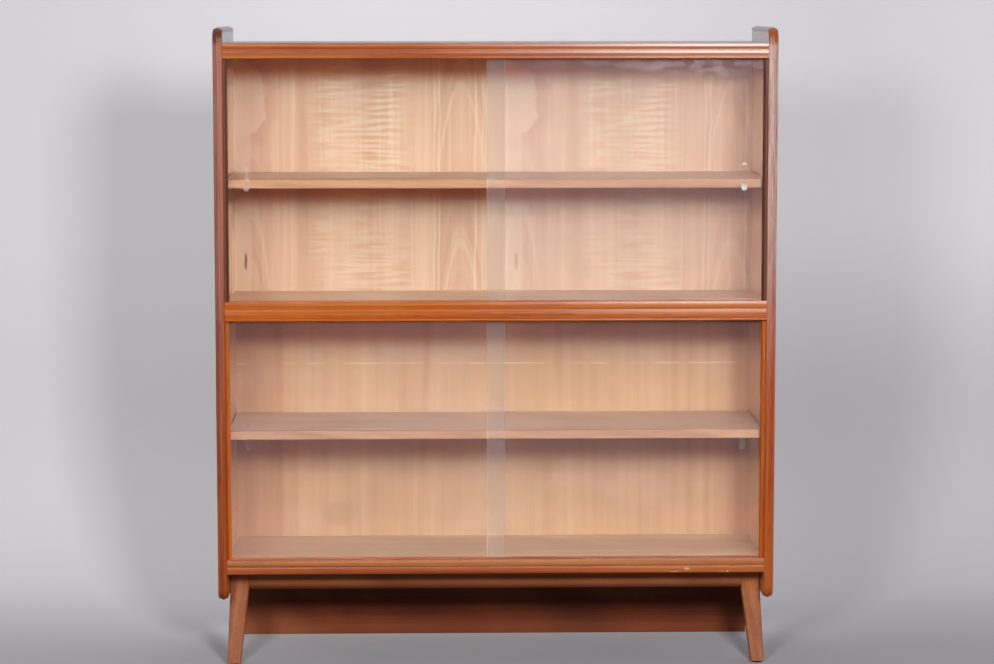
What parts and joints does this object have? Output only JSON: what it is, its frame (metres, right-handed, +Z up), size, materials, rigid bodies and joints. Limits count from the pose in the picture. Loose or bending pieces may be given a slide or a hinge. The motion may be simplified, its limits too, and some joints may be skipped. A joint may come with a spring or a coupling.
{
  "type": "glass-fronted bookcase",
  "caption": "Free-standing wooden bookcase with overlapping sliding glass panes, inner shelves, beaded side edges and a low stand with raked front legs and a rear board.",
  "frame": {"origin": "on the floor, in the middle of the width and of the depth", "axes": "+X to the right as seen from the front, -Y out of the glazed front towards the room, +Z up"},
  "size_m": [1.2, 0.32, 1.376],
  "materials": {
    "oak_solid": "satin lacquer",
    "oak_veneer": "satin lacquer",
    "maple_veneer": "satin lacquer",
    "figured_maple": "satin lacquer",
    "maple_solid": "satin lacquer",
    "dark_channel": "dark stained",
    "beech": "satin lacquer",
    "stained_beech": "stained, satin",
    "glass": "polished, ground edges",
    "brass": "turned",
    "steel": "zinc plated",
    "dark_plastic": "matt"
  },
  "bodies": {
    "carcass": {"block_screw_1": "steel", "block_screw_2": "steel", "block_screw_3": "steel", "block_screw_4": "steel", "bottom_board": "maple_veneer", "bottom_fascia": "oak_solid", "corner_block_1": "beech", "corner_block_2": "beech", "corner_block_3": "beech", "corner_block_4": "beech", "front_leg_left": "beech", "front_leg_right": "beech", "front_rail": "beech", "glide_left": "dark_plastic", "glide_right": "dark_plastic", "lower_back": "maple_veneer", "lower_channel_left": "oak_solid", "lower_channel_right": "oak_solid", "lower_runner_bottom": "oak_solid", "lower_runner_top": "oak_solid", "lower_shelf": "maple_veneer", "lower_shelf_lipping": "maple_solid", "lower_shelf_pin_1": "brass", "lower_shelf_pin_2": "brass", "lower_shelf_pin_3": "brass", "lower_shelf_pin_4": "brass", "middle_board": "maple_veneer", "middle_fascia": "oak_solid", "rear_board": "stained_beech", "side_lipping_left": "oak_solid", "side_lipping_right": "oak_solid", "side_panel_left": "oak_veneer", "side_panel_right": "oak_veneer", "side_rail_left": "beech", "side_rail_right": "beech", "top_board": "oak_veneer", "top_fascia": "oak_solid", "upper_back": "figured_maple", "upper_channel_left": "dark_channel", "upper_channel_right": "dark_channel", "upper_runner_bottom": "oak_solid", "upper_runner_top": "oak_solid", "upper_shelf": "maple_veneer", "upper_shelf_lipping": "maple_solid", "upper_shelf_pin_1": "brass", "upper_shelf_pin_2": "brass", "upper_shelf_pin_3": "brass", "upper_shelf_pin_4": "brass"},
    "lower_pane_left": {"lower_glass_left": "glass"},
    "lower_pane_right": {"lower_glass_right": "glass"},
    "upper_pane_left": {"upper_glass_left": "glass"},
    "upper_pane_right": {"upper_glass_right": "glass"}
  },
  "joints": [
    {"name": "lower_left_pane_slide", "type": "slide", "parent": "carcass", "child": "lower_pane_left", "axis": [1, 0, 0], "range_m": [0, 0.557]},
    {"name": "lower_right_pane_slide", "type": "slide", "parent": "carcass", "child": "lower_pane_right", "axis": [1, 0, 0], "range_m": [-0.557, 0]},
    {"name": "upper_left_pane_slide", "type": "slide", "parent": "carcass", "child": "upper_pane_left", "axis": [1, 0, 0], "range_m": [0, 0.557]},
    {"name": "upper_right_pane_slide", "type": "slide", "parent": "carcass", "child": "upper_pane_right", "axis": [1, 0, 0], "range_m": [-0.557, 0]}
  ]
}
